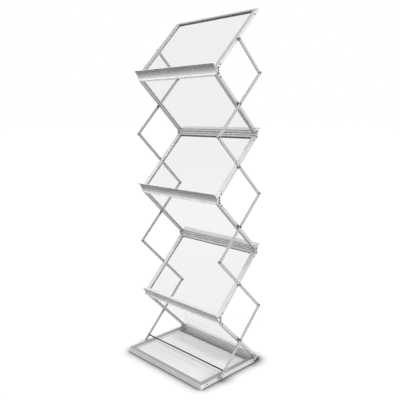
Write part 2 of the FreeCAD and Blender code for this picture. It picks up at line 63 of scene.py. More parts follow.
MM = 0.001
PANEL_COUNT = 6
LETTERS = "abcde"
SIDES = (1, -1)
UP = Vector((0, 0, 1))
PANEL_SLOPE = 45.4

# The angles in degrees past which two faces have an edge between them
BAR_EDGE = 60.0
SOLID_EDGE = 35.0
CREASE = 50.0

# The range that most of a noise pattern falls in
PATTERN_RANGE = (0.3, 0.7)

Profile = Sequence[tuple[float, float]]


# The stand's own places, read from the joints of the solids


def joint_place(name: str) -> Vector:
    """Finds where a joint turns.

    Args:
        name: The joint's name.

    Returns:
        The joint's place in millimetres.
    """
    joint = next(joint for joint in frame["joints"] if joint["name"] == name)
    return Vector(joint["pos_m"]) / MM


def panel_middle(number: int) -> Vector:
    """Finds a panel's middle pivot.

    Args:
        number: The panel's number; panel 1 is at the top.

    Returns:
        The pivot's place in millimetres.
    """
    if number == PANEL_COUNT:
        return joint_place(f"arms_{number}_turn")
    return joint_place(f"panel_{number}_tilt")


class Facing(Enum):
    """The way a sub-assembly faces."""

    BACK = 0.0
    FRONT = math.pi


def stand_at(middle: Vector, tilt: float = 0.0, facing: Facing = Facing.BACK) -> Matrix:
    """Places a sub-assembly's own frame.

    Args:
        middle: The frame's middle.
        tilt: Its tilt about X.
        facing: The way it faces once it is tilted.

    Returns:
        The matrix from the sub-assembly's frame to the stand's.
    """
    lean = Matrix.Rotation(math.radians(tilt), 4, "X")
    return Matrix.Translation(middle) @ Matrix.Rotation(facing.value, 4, "Z") @ lean


@dataclass(frozen=True)
class Widths:
    """Distances from the middle plane to the faces that the side pieces stand on."""

    rail_face: float = 232.0
    plate_inner: float = 232.3
    plate_outer: float = 234.3
    inner_arm: float = 235.8
    outer_arm: float = 240.1
    arm_thickness: float = 4.0
    running_gap: float = 0.3


WIDTHS = Widths()


# Shapes


def flat_bar(
    low: float, high: float, radius: float, thickness: float, rounding: float
) -> BMesh:
    """Makes a flat bar with round ends in the side view, centred on the middle plane.

    Args:
        low: Where the bar's near end turns, along Y.
        high: Where its far end turns.
        radius: Half the bar's width.
        thickness: The bar's thickness across.
        rounding: How far its edges are rounded.

    Returns:
        The bar as a bmesh.
    """
    segments = 48
    part = bmesh.new()
    bmesh.ops.create_circle(part, cap_ends=True, radius=radius, segments=segments)
    half_step = Matrix.Rotation(math.pi / segments, 3, "Z")
    bmesh.ops.rotate(part, verts=part.verts, cent=(0, 0, 0), matrix=half_step)
    far_end = [vert for vert in part.verts if vert.co.x > 0]
    near_end = [vert for vert in part.verts if vert.co.x < 0]
    bmesh.ops.translate(part, verts=far_end, vec=(high, 0, 0))
    bmesh.ops.translate(part, verts=near_end, vec=(low, 0, 0))
    run = bmesh.ops.extrude_face_region(part, geom=part.faces[:])
    risen = [item for item in run["geom"] if isinstance(item, BMVert)]
    bmesh.ops.translate(part, verts=risen, vec=(0, 0, thickness))
    bmesh.ops.translate(part, verts=part.verts, vec=(0, 0, -thickness / 2))
    to_side_view = Matrix(((0, 0, 1), (1, 0, 0), (0, 1, 0)))
    bmesh.ops.rotate(part, verts=part.verts, cent=(0, 0, 0), matrix=to_side_view)
    bmesh.ops.recalc_face_normals(part, faces=part.faces)
    round_edges(part, rounding, BAR_EDGE)
    return part


def round_edges(part: BMesh, width: float, least_angle: float) -> None:
    """Rounds a part's edges that are sharper than an angle.

    Args:
        part: The part to round.
        width: How far each edge is rounded.
        least_angle: The smallest angle between two faces that counts as an edge.
    """
    limit = math.radians(least_angle)
    edges = [edge for edge in part.edges if edge.is_manifold and edge.calc_face_angle() > limit]
    bmesh.ops.bevel(
        part,
        geom=edges,
        offset=width,
        offset_type="OFFSET",
        affect="EDGES",
        segments=2,
        profile=0.5,
        clamp_overlap=True,
        material=-1,
    )


def turned(profile: Profile, steps: int = 32) -> BMesh:
    """Turns a profile about the X axis, as on a lathe.

    Args:
        profile: The outline's points, each a radius and a place along X.
        steps: How many steps the full turn takes.

    Returns:
        The turned part as a bmesh.
    """
    same_spot = 0.001
    part = bmesh.new()
    verts = [part.verts.new((along, 0, radius)) for radius, along in profile]
    edges = [part.edges.new(pair) for pair in zip(verts, verts[1:])]
    bmesh.ops.spin(
        part,
        geom=verts + edges,
        cent=(0, 0, 0),
        axis=(1, 0, 0),
        angle=math.tau,
        steps=steps,
        use_merge=True,
    )
    bmesh.ops.remove_doubles(part, verts=part.verts, dist=same_spot)
    bmesh.ops.recalc_face_normals(part, faces=part.faces)
    return part


def softened(node: str, width: float) -> BMesh:
    """Copies a solid, joins its triangles into faces and rounds its edges.

    Args:
        node: The solid's name.
        width: How far its edges are rounded.

    Returns:
        The copy in millimetres.
    """
    same_spot = 0.01
    same_plane = math.radians(1.0)
    part = bmesh.new()
    part.from_mesh(frame["nodes"][node].data)
    part.transform(Matrix.Scale(1 / MM, 4))
    bmesh.ops.remove_doubles(part, verts=part.verts, dist=same_spot)
    bmesh.ops.dissolve_limit(
        part,
        angle_limit=same_plane,
        verts=part.verts,
        edges=part.edges,
        use_dissolve_boundaries=False,
    )
    round_edges(part, width, SOLID_EDGE)
    return part


class Piece:
    """A piece in the making: parts are added at their places and then finished as one object."""

    def __init__(self, name: str) -> None:
        """Starts an empty piece with its name."""
        self.name = name
        self.shape = bmesh.new()

    def add(self, part: BMesh, place: Matrix | None = None) -> None:
        """Adds a part and frees it.

        Args:
            part: The part in its own frame.
            place: The matrix from its frame to the stand's, or nothing if it is in place.
        """
        if place is not None:
            part.transform(place)
        holder = bpy.data.meshes.new(self.name)
        part.to_mesh(holder)
        part.free()
        self.shape.from_mesh(holder)
        bpy.data.meshes.remove(holder)

    def finish(
        self,
        body: str,
        slot: str,
        material: Material,
        replaced: Iterable[str] = (),
    ) -> Object:
        """Turns the parts into an object that rides on a body.

        Args:
            body: The body that carries the piece.
            slot: The piece's material slot; not used.
            material: The piece's material.
            replaced: The solids that the piece stands for.

        Returns:
            The finished object.
        """
        crease = math.radians(CREASE)
        for edge in self.shape.edges:
            edge.smooth = not edge.is_manifold or edge.calc_face_angle() < crease
        for face in self.shape.faces:
            face.smooth = True
        self.shape.transform(Matrix.Scale(MM, 4))
        mesh = bpy.data.meshes.new(self.name)
        self.shape.to_mesh(mesh)
        self.shape.free()
        mesh.materials.append(material)
        piece = bpy.data.objects.new(self.name, mesh)
        bpy.context.scene.collection.objects.link(piece)
        normals = piece.modifiers.new("FlatFaces", "WEIGHTED_NORMAL")
        normals.keep_sharp = True
        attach(piece, body)
        if replaced:
            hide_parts(*replaced)
        LOG.info("%s: %d faces on %s", self.name, len(mesh.polygons), body)
        return piece


def dress(node: str, width: float, body: str, slot: str, material: Material) -> Object:
    """Stands a softened copy of a solid in its place.

    Args:
        node: The solid's name, which the piece's name starts with.
        width: How far its edges are rounded.
        body: The body that carries it.
        slot: Its material slot.
        material: Its material.

    Returns:
        The finished object.
    """
    piece = Piece(f"{node}_finished")
    piece.add(softened(node, width))
    return piece.finish(body, slot, material, [node])


def coat(piece: Object, material: Material, way: Vector) -> None:
    """Gives the faces that point one way a copy of their finish, lighter where it paints light and
    darker where it paints shade.

    Args:
        piece: The finished object.
        material: The copy, which paints light and shade onto these faces.
        way: The way the faces point.
    """
    least_share = 0.8
    piece.data.materials.append(material)
    index = len(piece.data.materials) - 1
    for face in piece.data.polygons:
        if face.normal.dot(way) > least_share:
            face.material_index = index


# Finishes


class Grain(Enum):
    """The way a drawn grain runs: the angle of its lines above level, front to back."""

    LEVEL = 0.0
    PANEL_BACK = PANEL_SLOPE
    PANEL_FRONT = -PANEL_SLOPE
    ARM_BACK = 45.61
    ARM_FRONT = -45.61
    UPRIGHT = 90.0
    ACROSS = None


class Shading:
    """A material's node tree, with short ways to add nodes and join them."""

    def __init__(self, name: str) -> None:
        """Starts a material with its name."""
        self.material = bpy.data.materials.new(name)
        self.material.use_nodes = True
        self.tree = self.material.node_tree
        self.shader = self.tree.nodes["Principled BSDF"]
        self.output = self.tree.nodes["Material Output"]
        self.place = self.tree.nodes.new("ShaderNodeTexCoord").outputs["Object"]

    def add(self, kind: str, **settings: object) -> Node:
        """Adds a node.

        Args:
            kind: The node's type.
            settings: Attributes of the node, or inputs by their names.

        Returns:
            The new node.
        """
        node = self.tree.nodes.new(kind)
        for name, value in settings.items():
            if hasattr(node, name):
                setattr(node, name, value)
            else:
                node.inputs[name.replace("_", " ").title()].default_value = value
        return node

    def join(self, start: NodeSocket, end: NodeSocket) -> None:
        """Joins an output to an input."""
        self.tree.links.new(start, end)

    def set(self, **values: object) -> None:
        """Sets constant inputs of the shader, named in lower case with underscores."""
        for name, value in values.items():
            socket = next(
                socket
                for socket in self.shader.inputs
                if socket.name.lower().replace(" ", "_") == name
            )
            socket.default_value = value

    def noise(self, size: Vector, angle: float = 0.0, detail: float = 2.0) -> NodeSocket:
        """Adds a noise pattern.

        Args:
            size: The pattern's feature size along X, along the grain and square to both.
            angle: The grain's angle about X.
            detail: How many finer layers the noise has.

        Returns:
            The noise's value.
        """
        turn = (math.radians(angle), 0, 0)
        mapping = self.add(
            "ShaderNodeMapping", vector_type="TEXTURE", rotation=turn, scale=size * MM
        )
        self.join(self.place, mapping.inputs["Vector"])
        noise = self.add("ShaderNodeTexNoise", scale=1.0, detail=detail)
        self.join(mapping.outputs["Vector"], noise.inputs["Vector"])
        return noise.outputs["Fac"]

    def grain(self, grain: Grain, width: float, length: float) -> NodeSocket:
        """Adds a grain of fine lines.

        Args:
            grain: The way the lines run.
            width: How wide a line is.
            length: How long a line is.

        Returns:
            The grain's value.
        """
        if grain is Grain.ACROSS:
            return self.noise(Vector((length, width, width)))
        return self.noise(Vector((width, length, width)), grain.value)

    def product(self, first: NodeSocket, second: NodeSocket | float) -> NodeSocket:
        """Multiplies a value.

        Args:
            first: The value.
            second: The value or the number that it is multiplied by.

        Returns:
            The product.
        """
        node = self.add("ShaderNodeMath", operation="MULTIPLY")
        self.join(first, node.inputs[0])
        if isinstance(second, float):
            node.inputs[1].default_value = second
        else:
            self.join(second, node.inputs[1])
        return node.outputs[0]

    def remap(
        self,
        value: NodeSocket,
        reach: tuple[float, float],
        ends: tuple[float, float] = (0.0, 1.0),
    ) -> NodeSocket:
        """Maps one range of a value onto another.

        Args:
            value: The value.
            reach: The range that is mapped.
            ends: What its two ends become.

        Returns:
            The mapped value.
        """
        node = self.add("ShaderNodeMapRange", from_min=reach[0], from_max=reach[1])
        node.inputs["To Min"].default_value, node.inputs["To Max"].default_value = ends
        self.join(value, node.inputs["Value"])
        return node.outputs["Result"]

    def roughen(self, pattern: NodeSocket, low: float, high: float) -> None:
        """Lets a pattern set the roughness.

        Args:
            pattern: The pattern.
            low: The roughness at its low points.
            high: The roughness at its high points.
        """
        rough = self.remap(pattern, PATTERN_RANGE, (low, high))
        self.join(rough, self.shader.inputs["Roughness"])

    def colour(self, pattern: NodeSocket, dark: Sequence[float], light: Sequence[float]) -> None:
        """Lets a pattern shade the surface between two colours.

        Args:
            pattern: The pattern.
            dark: The colour at its low points.
            light: The colour at its high points.
        """
        ramp = self.add("ShaderNodeValToRGB")
        low, high = ramp.color_ramp.elements
        low.position, high.position = PATTERN_RANGE
        low.color, high.color = (*dark, 1.0), (*light, 1.0)
        self.join(pattern, ramp.inputs["Fac"])
        self.join(ramp.outputs["Color"], self.shader.inputs["Base Color"])

    def relief(self, height: NodeSocket, strength: float, depth: float) -> None:
        """Lets a pattern raise the surface.

        Args:
            height: The pattern.
            strength: How strongly it shows.
            depth: How deep it is.
        """
        bump = self.add("ShaderNodeBump", strength=strength, distance=depth * MM)
        self.join(height, bump.inputs["Height"])
        self.join(bump.outputs["Normal"], self.shader.inputs["Normal"])


def grey(value: float, warmth: float = 0.0) -> tuple[float, float, float]:
    """Makes a grey.

    Args:
        value: Its lightness, as linear light.
        warmth: How far red is raised and blue lowered.

    Returns:
        The grey as red, green and blue.
    """
    return (value * (1 + warmth), value, value * (1 - warmth))


@dataclass(frozen=True)
class AnodisedAluminium:
    """Satin anodised aluminium with a fine drawn grain and faint clouding."""

    name: str
    lightness: float = 0.62
    clouding: float = 0.02
    warmth: float = -0.006
    metallic: float = 0.06
    specular: float = 0.3
    roughness: float = 0.42
    unevenness: float = 0.06
    line_width: float = 0.3
    line_length: float = 45.0
    line_share: float = 0.5
    cloud_size: float = 70.0
    grain_strength: float = 0.25
    grain_depth: float = 0.006

    def material(self, grain: Grain = Grain.ACROSS) -> Material:
        """Makes the finish.

        Args:
            grain: The way the drawn lines run.

        Returns:
            The material.
        """
        shading = Shading(f"{self.name}_{grain.name.lower()}")
        lines = shading.grain(grain, self.line_width, self.line_length)
        clouds = shading.noise(Vector((1, 1, 1)) * self.cloud_size, detail=3.0)
        blend = shading.add("ShaderNodeMath", operation="MULTIPLY_ADD")
        blend.inputs[1].default_value = self.line_share
        shading.join(lines, blend.inputs[0])
        shading.join(shading.product(clouds, 1 - self.line_share), blend.inputs[2])
        dark = grey(self.lightness - self.clouding, self.warmth)
        light = grey(self.lightness + self.clouding, self.warmth)
        shading.colour(blend.outputs[0], dark, light)
        shading.roughen(lines, self.roughness - self.unevenness, self.roughness + self.unevenness)
        shading.relief(lines, self.grain_strength, self.grain_depth)
        shading.set(metallic=self.metallic, specular_ior_level=self.specular)
        return shading.material


@dataclass(frozen=True)
class ClearAcrylic:
    """Clear cast acrylic sheet, very slightly grey and with a faint ripple."""

    name: str = "clear_acrylic"
    tint: tuple[float, float, float] = (0.865, 0.866, 0.866)
    shade: tuple[float, float, float] = (0.985, 0.985, 0.985)
    ior: float = 1.02
    roughness: tuple[float, float] = (0.015, 0.035)
    ripple_size: float = 90.0
    ripple_strength: float = 0.15
    ripple_depth: float = 0.03

    def material(self) -> Material:
        """Makes the finish.

        Returns:
            The material.
        """
        shading = Shading(self.name)
        ripple = shading.noise(Vector((1, 1, 1)) * self.ripple_size, detail=1.0)
        shading.relief(ripple, self.ripple_strength, self.ripple_depth)
        shading.roughen(ripple, *self.roughness)
        shading.set(base_color=(*self.tint, 1.0), ior=self.ior, transmission_weight=1.0)
        clear = shading.add("ShaderNodeBsdfTransparent")
        clear.inputs["Color"].default_value = (*self.shade, 1.0)
        mix = shading.add("ShaderNodeMixShader")
        path = shading.add("ShaderNodeLightPath")
        shading.join(path.outputs["Is Shadow Ray"], mix.inputs["Fac"])
        shading.join(shading.shader.outputs["BSDF"], mix.inputs[1])
        shading.join(clear.outputs["BSDF"], mix.inputs[2])
        shading.join(mix.outputs["Shader"], shading.output.inputs["Surface"])
        return shading.material


@dataclass(frozen=True)
class BlackNylon:
    """Moulded black nylon with a fine even texture."""

    name: str = "black_nylon"
    lightness: tuple[float, float] = (0.0144, 0.0225)
    roughness: tuple[float, float] = (0.43, 0.57)
    texture_size: float = 0.35
    texture_strength: float = 0.2
    texture_depth: float = 0.03

    def material(self) -> Material:
        """Makes the finish.

        Returns:
            The material.
        """
        shading = Shading(self.name)
        texture = shading.noise(Vector((1, 1, 1)) * self.texture_size, detail=3.0)
        dark, light = self.lightness
        shading.colour(texture, grey(dark), grey(light))
        shading.roughen(texture, *self.roughness)
        shading.relief(texture, self.texture_strength, self.texture_depth)
        return shading.material


@dataclass(frozen=True)
class PlatedSteel:
    """Steel with a dark plated coat, a little uneven from tumbling."""

    name: str
    lightness: float
    mottling: float = 0.18
    metallic: float = 0.2
    specular: float = 0.2
    roughness: tuple[float, float] = (0.42, 0.6)
    patch_size: float = 2.5
    scratch_size: tuple[float, float, float] = (3.0, 0.25, 0.25)
    scratch_strength: float = 0.2
    scratch_depth: float = 0.015

    def material(self) -> Material:
        """Makes the finish.

        Returns:
            The material.
        """
        shading = Shading(self.name)
        patches = shading.noise(Vector((1, 1, 1)) * self.patch_size, detail=4.0)
        scratches = shading.noise(Vector(self.scratch_size))
        dark = grey(self.lightness * (1 - self.mottling))
        shading.colour(patches, dark, grey(self.lightness * (1 + self.mottling)))
        shading.roughen(scratches, *self.roughness)
        shading.relief(scratches, self.scratch_strength, self.scratch_depth)
        shading.set(metallic=self.metallic, specular_ior_level=self.specular)
        return shading.material


@dataclass(frozen=True)
class TraySheet:
    """The base's pale coated sheet, with faint rolled streaks across it."""

    name: str = "tray_sheet"
    lightness: tuple[float, float] = (0.73, 0.79)
    roughness: tuple[float, float] = (0.34, 0.46)
    streak_size: tuple[float, float, float] = (160.0, 9.0, 9.0)
    grain_size: tuple[float, float, float] = (30.0, 0.6, 0.6)
    grain_strength: float = 0.15
    grain_depth: float = 0.02

    def material(self) -> Material:
        """Makes the finish.

        Returns:
            The material.
        """
        shading = Shading(self.name)
        streaks = shading.noise(Vector(self.streak_size), detail=3.0)
        fine = shading.noise(Vector(self.grain_size))
        dark, light = self.lightness
        shading.colour(streaks, grey(dark), grey(light))
        shading.roughen(fine, *self.roughness)
        shading.relief(fine, self.grain_strength, self.grain_depth)
        return shading.material


Finish = AnodisedAluminium | ClearAcrylic | BlackNylon | PlatedSteel | TraySheet


class Finishes:
    """The stand's finishes, each made once for each way its grain runs."""

    def __init__(self) -> None:
        """Starts with no material made."""
        self.made: dict[tuple, Material] = {}
        self.rail = AnodisedAluminium("aluminium", lightness=0.63, metallic=0.35)
        # Painted light: a more mirror-like copy that brightens the even panels' rails, whose faces
        # towards the front look down
        self.turned_rail = AnodisedAluminium("even_aluminium", lightness=0.62, metallic=0.55)
        self.cross_rail = AnodisedAluminium("cross_aluminium", lightness=0.8, metallic=0.6)
        # Painted shade: a dark copy for the front faces of the top panel's top rail
        self.head_rail = AnodisedAluminium("head_aluminium", lightness=0.42, metallic=0.4)
        # Painted light: a lighter copy for the front faces of the odd panels' side rails
        self.rail_face = AnodisedAluminium("rail_face_aluminium", lightness=0.77, metallic=0.35)
        # Painted light: a lighter copy for the top panel's side rails
        self.head_side = AnodisedAluminium("head_side_aluminium", lightness=0.74, metallic=0.35)
        # Painted shade: a darker copy for the front faces of the top panel's side rails
        self.head_face_painted_shade = AnodisedAluminium("head_face_aluminium", lightness=0.48, metallic=0.35)
        # Painted shade: a dark copy for the faces of the odd panels' top rails that look down the
        # slope
        self.under_rail = AnodisedAluminium("under_aluminium", lightness=0.3, metallic=0.3)
        # Painted shade: a dark copy for the rest of the top panel's top rail
        self.head_edge_painted_shade = AnodisedAluminium("head_edge_aluminium", lightness=0.4, metallic=0.5)
        self.lip = AnodisedAluminium(
            "lip_aluminium", lightness=0.92, metallic=0.0, specular=0.15, line_length=80.0
        )
        # Painted light: the rear lips' copy is more mirror-like than the front lips', to brighten
        # their inner faces
        self.rear_lip = AnodisedAluminium(
            "rear_lip_aluminium", lightness=0.84, metallic=0.55, line_length=80.0
        )
        # Painted light: the front rail's copy is lighter and more mirror-like than the side rails'
        self.base = AnodisedAluminium("base_aluminium", lightness=0.85, metallic=0.5)
        self.base_side = AnodisedAluminium("base_side_aluminium", lightness=0.66, metallic=0.3)
        # Painted shade: a dark copy for the whole rear rail
        self.base_rear = AnodisedAluminium("base_rear_aluminium", lightness=0.3)
        # Painted shade: a dark copy for the base rails' top faces
        self.base_top = AnodisedAluminium("base_top_aluminium", lightness=0.34)
        self.arm = AnodisedAluminium("arm_aluminium", lightness=0.49, line_width=0.25)
        self.catch = AnodisedAluminium("catch_plate", lightness=0.62)
        self.acrylic = ClearAcrylic()
        self.nylon = BlackNylon()
        self.rivet = PlatedSteel("rivet_steel", lightness=0.12)
        self.screw = PlatedSteel("screw_steel", lightness=0.03)
        self.rod = PlatedSteel("rod_steel", lightness=0.025)
        # Painted shade: a near-black coat in the floors of the front rail's grooves
        self.groove = PlatedSteel("groove_coat", lightness=0.03)
        self.tray = TraySheet()

    def give(self, finish: Finish, *grain: Grain) -> Material:
        """Gives a finish as a material, made at its first use.

        Args:
            finish: The finish.
            grain: The way its grain runs, where that isn't its usual way.

        Returns:
            The material.
        """
        key = (finish.name, *grain)
        if key not in self.made:
            self.made[key] = finish.material(*grain)
        return self.made[key]


# Small turned fasteners


@dataclass(frozen=True)
class RoundHead:
    """A domed head with a shallow round recess, standing on a face."""

    radius: float
    height: float

    def profile(self, face: float) -> list[tuple[float, float]]:
        """Draws the head's outline from its rim to its middle.

        Args:
            face: Where the face that it stands on is.

        Returns:
            The outline's points.
        """
        shares = ((1, 0), (1, 0.4), (0.9, 0.78), (0.72, 0.96), (0.5, 1), (0.42, 0.5), (0, 0.5))
        return [(self.radius * across, face + self.height * up) for across, up in shares]


def both_sides(piece: Piece, profile: Profile, places: Iterable[Matrix]) -> None:
    """Adds a turned part at both sides of the stand at each place.

    Args:
        piece: The piece that gets the parts.
        profile: The right side's outline, each point a radius and a distance across.
        places: Where the part's axis goes, each a matrix in the side view.
    """
    for place in places:
        for side in SIDES:
            mirrored = [(radius, side * along) for radius, along in profile]
            piece.add(turned(mirrored), place)


def along_slope(place: Matrix, distance: float) -> Matrix:
    """Moves a place along its own Y."""
    return place @ Matrix.Translation((0, distance, 0))


def up_from(place: Matrix, distance: float) -> Matrix:
    """Moves a place along its own Z."""
    return place @ Matrix.Translation((0, 0, distance))


# Sub-assemblies


@dataclass
class Panel:
    """A framed clear sheet, with the bushes its arms turn on and the small screws in its rails."""

    number: int
    slope: float = PANEL_SLOPE
    pivot_span: float = 305.0
    screw_inset: float = 17.5
    top_screw_inset: float = 17.0
    rounding: float = 0.5
    sheet_rounding: float = 0.2
    bush_radius: float = 5.0
    bush_chamfer: float = 0.4
    shank_radius: float = 2.5
    seat_depth: float = 6.0
    bush_head: RoundHead = RoundHead(4.0, 1.4)
    screw: RoundHead = RoundHead(3.0, 0.8)
    widths: Widths = WIDTHS

    @property
    def body(self) -> str:
        """The body that carries the panel."""
        return f"panel_{self.number}"

    @property
    def is_head(self) -> bool:
        """Whether it is the top panel."""
        return self.number == 1

    @property
    def climbs_back(self) -> bool:
        """Whether the panel rises towards the back."""
        return self.number % 2 == 1

    @property
    def place(self) -> Matrix:
        """The panel's own frame: Y runs up its slope."""
        facing = Facing.BACK if self.climbs_back else Facing.FRONT
        return stand_at(panel_middle(self.number), self.slope, facing)

    def build(self, finishes: Finishes) -> None:
        """Makes the panel's pieces.

        Args:
            finishes: The stand's finishes.
        """
        slope = Grain.PANEL_BACK if self.climbs_back else Grain.PANEL_FRONT
        name = self.body
        across = finishes.give(finishes.cross_rail)
        # Painted light and shade on the side rails: the odd panels' front faces are lighter, the
        # top panel's front faces darker and its other faces lighter, and the even panels' rails
        # take one more mirror-like copy throughout
        side, face = finishes.turned_rail, finishes.turned_rail
        if self.is_head:
            side, face = finishes.head_side, finishes.head_face_painted_shade
        elif self.climbs_back:
            side, face = finishes.rail, finishes.rail_face
        metal = finishes.give(side, slope)
        rails = dress(f"{name}_side_rails", self.rounding, name, "aluminium", metal)
        coat(rails, finishes.give(face, slope), self.place.col[2].xyz)
        # Painted shade on the top rails: the top panel's is dark throughout, and the other odd
        # panels' are dark on the faces that look down the slope
        edge = finishes.give(finishes.head_edge_painted_shade) if self.is_head else across
        top = dress(f"{name}_top_rail", self.rounding, name, "aluminium", edge)
        if self.is_head:
            coat(top, finishes.give(finishes.head_rail), self.place.col[2].xyz)
        elif self.climbs_back:
            coat(top, finishes.give(finishes.under_rail), -self.place.col[1].xyz)
        dress(f"{name}_bottom_rail", self.rounding, name, "aluminium", across)
        clear = finishes.give(finishes.acrylic)
        dress(f"{name}_sheet", self.sheet_rounding, name, "clear_acrylic", clear)
        self.build_bushes(finishes)
        self.build_screws(finishes)

    def build_bushes(self, finishes: Finishes) -> None:
        """Makes the two bushes that the arms turn on.

        Args:
            finishes: The stand's finishes.
        """
        widths = self.widths
        arm = widths.inner_arm if self.climbs_back else widths.outer_arm
        collar = arm - widths.running_gap
        head = arm + widths.arm_thickness + widths.running_gap
        profile = [
            (0, widths.rail_face - self.seat_depth),
            (self.shank_radius, widths.rail_face - self.seat_depth),
            (self.shank_radius, widths.rail_face),
            (self.bush_radius, widths.rail_face),
            (self.bush_radius, collar - self.bush_chamfer),
            (self.bush_radius - self.bush_chamfer, collar),
            (self.shank_radius, collar),
            (self.shank_radius, head),
            *self.bush_head.profile(head),
        ]
        piece = Piece(f"{self.body}_arm_bushes")
        both_sides(piece, profile, [self.place])
        nylon = finishes.give(finishes.nylon)
        piece.finish(self.body, "black_nylon", nylon, [f"{self.body}_arm_pivots"])

    def build_screws(self, finishes: Finishes) -> None:
        """Makes the small screws in the side rails' outer faces.

        Args:
            finishes: The stand's finishes.
        """
        half = self.pivot_span / 2
        high = half - (self.top_screw_inset if self.is_head else self.screw_inset)
        piece = Piece(f"{self.body}_rail_screws")
        spots = [along_slope(self.place, distance) for distance in (self.screw_inset - half, high)]
        profile = [(0, self.widths.rail_face), *self.screw.profile(self.widths.rail_face)]
        both_sides(piece, profile, spots)
        piece.finish(self.body, "rivet_steel", finishes.give(finishes.screw))


@dataclass
class Link:
    """Two end plates with their hinge pins, and the full-width lip between them."""

    name: str
    body: str
    low_pin: Vector
    facing: Facing
    lean: float = 0.0
    pin_span: float = 20.0
    plate_radius: float = 6.0
    plate_thickness: float = 2.0
    plate_rounding: float = 0.35
    lip_rounding: float = 0.25
    pin_radius: float = 2.5
    pin_chamfer: float = 0.3
    pin_length: float = 9.0
    pin_head: RoundHead = RoundHead(3.6, 1.0)
    screw: RoundHead = RoundHead(2.9, 0.8)
    widths: Widths = WIDTHS

    @property
    def place(self) -> Matrix:
        """The link's own frame: its middle is midway between the pins and Y points outwards."""
        lean = math.radians(self.lean)
        up = Vector((0, math.sin(lean), math.cos(lean))) * (self.pin_span / 2)
        return stand_at(self.low_pin + up, -self.lean, self.facing)

    def build(self, finishes: Finishes) -> None:
        """Makes the link's pieces.

        Args:
            finishes: The stand's finishes.
        """
        half = self.pin_span / 2
        plates = Piece(f"{self.name}_side_plates")
        across = (self.widths.plate_inner + self.widths.plate_outer) / 2
        upright = Matrix.Rotation(math.pi / 2, 4, "X")
        for side in SIDES:
            plate = flat_bar(
                -half, half, self.plate_radius, self.plate_thickness, self.plate_rounding
            )
            plates.add(plate, self.place @ Matrix.Translation((side * across, 0, 0)) @ upright)
        metal = finishes.give(finishes.rail, Grain.UPRIGHT)
        plates.finish(self.body, "aluminium", metal, [f"{self.name}_plates"])
        # Painted light: the rear lips take a more mirror-like copy than the front lips
        finish = finishes.lip if self.facing is Facing.FRONT else finishes.rear_lip
        lip = finishes.give(finish)
        dress(f"{self.name}_lip", self.lip_rounding, self.body, "lip_aluminium", lip)
        face = self.widths.plate_outer
        root = self.widths.plate_inner - self.pin_length
        profile = [
            (0, root),
            (self.pin_radius - self.pin_chamfer, root),
            (self.pin_radius, root + self.pin_chamfer),
            (self.pin_radius, face),
            *self.pin_head.profile(face),
        ]
        pins = Piece(f"{self.name}_pins")
        both_sides(pins, profile, [up_from(self.place, half), up_from(self.place, -half)])
        pins.finish(self.body, "rivet_steel", finishes.give(finishes.screw))
        screws = Piece(f"{self.name}_lip_screws")
        both_sides(screws, [(0, face), *self.screw.profile(face)], [self.place])
        screws.finish(self.body, "rivet_steel", finishes.give(finishes.screw))


